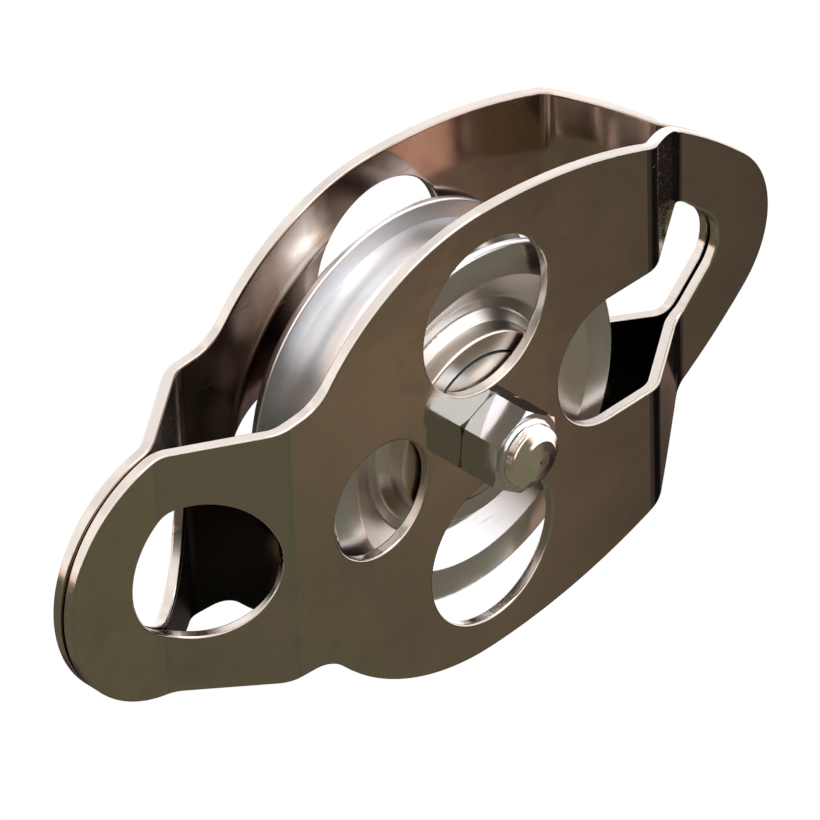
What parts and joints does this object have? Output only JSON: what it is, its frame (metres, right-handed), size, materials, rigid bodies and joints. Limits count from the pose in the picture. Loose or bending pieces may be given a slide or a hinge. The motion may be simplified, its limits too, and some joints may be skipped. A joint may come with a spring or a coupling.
{
  "type": "double becket block",
  "caption": "Rigging pulley block with swinging side plates, one grooved sheave on ball bearings and a becket opening at each end.",
  "frame": {"origin": "centre of the sheave, on the axle's axis and midway between the plates", "axes": "+Z along the block's long axis, from the sheave towards the slotted becket; +Y along the axle, from the lock nut at the front to the bolt head at the rear; +X to the right seen from the front"},
  "size_m": [0.1028, 0.0507, 0.1887],
  "materials": {
    "polished_steel": "mirror-polished stainless sheet",
    "sheave_alloy": "machined, lightly polished",
    "bolt_steel": "turned and polished stainless",
    "bearing_steel": "ground",
    "cage_steel": "pressed, satin",
    "shield_steel": "pressed, satin",
    "ring_steel": "dark phosphated spring steel",
    "insert_nylon": "natural nylon"
  },
  "bodies": {
    "rear_cheek_and_axle": {"rear_plate": "polished_steel", "axle_bolt": "bolt_steel", "lock_nut": "bolt_steel", "nut_insert": "insert_nylon", "axle_sleeve": "bearing_steel", "race_spacer": "bearing_steel", "front_thrust_collar": "bearing_steel", "rear_thrust_collar": "bearing_steel", "front_bearing_inner_race": "bearing_steel", "rear_bearing_inner_race": "bearing_steel"},
    "front_cheek": {"front_plate": "polished_steel"},
    "sheave_unit": {"sheave": "sheave_alloy", "front_bearing_outer_race": "bearing_steel", "rear_bearing_outer_race": "bearing_steel", "front_inboard_shield": "shield_steel", "front_outboard_shield": "shield_steel", "rear_inboard_shield": "shield_steel", "rear_outboard_shield": "shield_steel", "front_retaining_ring": "ring_steel", "rear_retaining_ring": "ring_steel"},
    "front_ball_set": {"front_bearing_balls": "bearing_steel", "front_bearing_cage": "cage_steel"},
    "rear_ball_set": {"rear_bearing_balls": "bearing_steel", "rear_bearing_cage": "cage_steel"}
  },
  "joints": [
    {"name": "front_plate_swing", "type": "hinge", "parent": "rear_cheek_and_axle", "child": "front_cheek", "pos_m": [0, 0, 0], "axis": [0, 1, 0], "continuous": true},
    {"name": "sheave_spin", "type": "hinge", "parent": "rear_cheek_and_axle", "child": "sheave_unit", "pos_m": [0, 0, 0], "axis": [0, 1, 0], "continuous": true},
    {"name": "front_balls_roll", "type": "hinge", "parent": "rear_cheek_and_axle", "child": "front_ball_set", "pos_m": [0, 0, 0], "axis": [0, 1, 0], "continuous": true},
    {"name": "rear_balls_roll", "type": "hinge", "parent": "rear_cheek_and_axle", "child": "rear_ball_set", "pos_m": [0, 0, 0], "axis": [0, 1, 0], "continuous": true}
  ],
  "couplings": [
    {"joint": "front_balls_roll", "follows": "sheave_spin", "ratio": 0.6013},
    {"joint": "rear_balls_roll", "follows": "sheave_spin", "ratio": 0.6013}
  ]
}
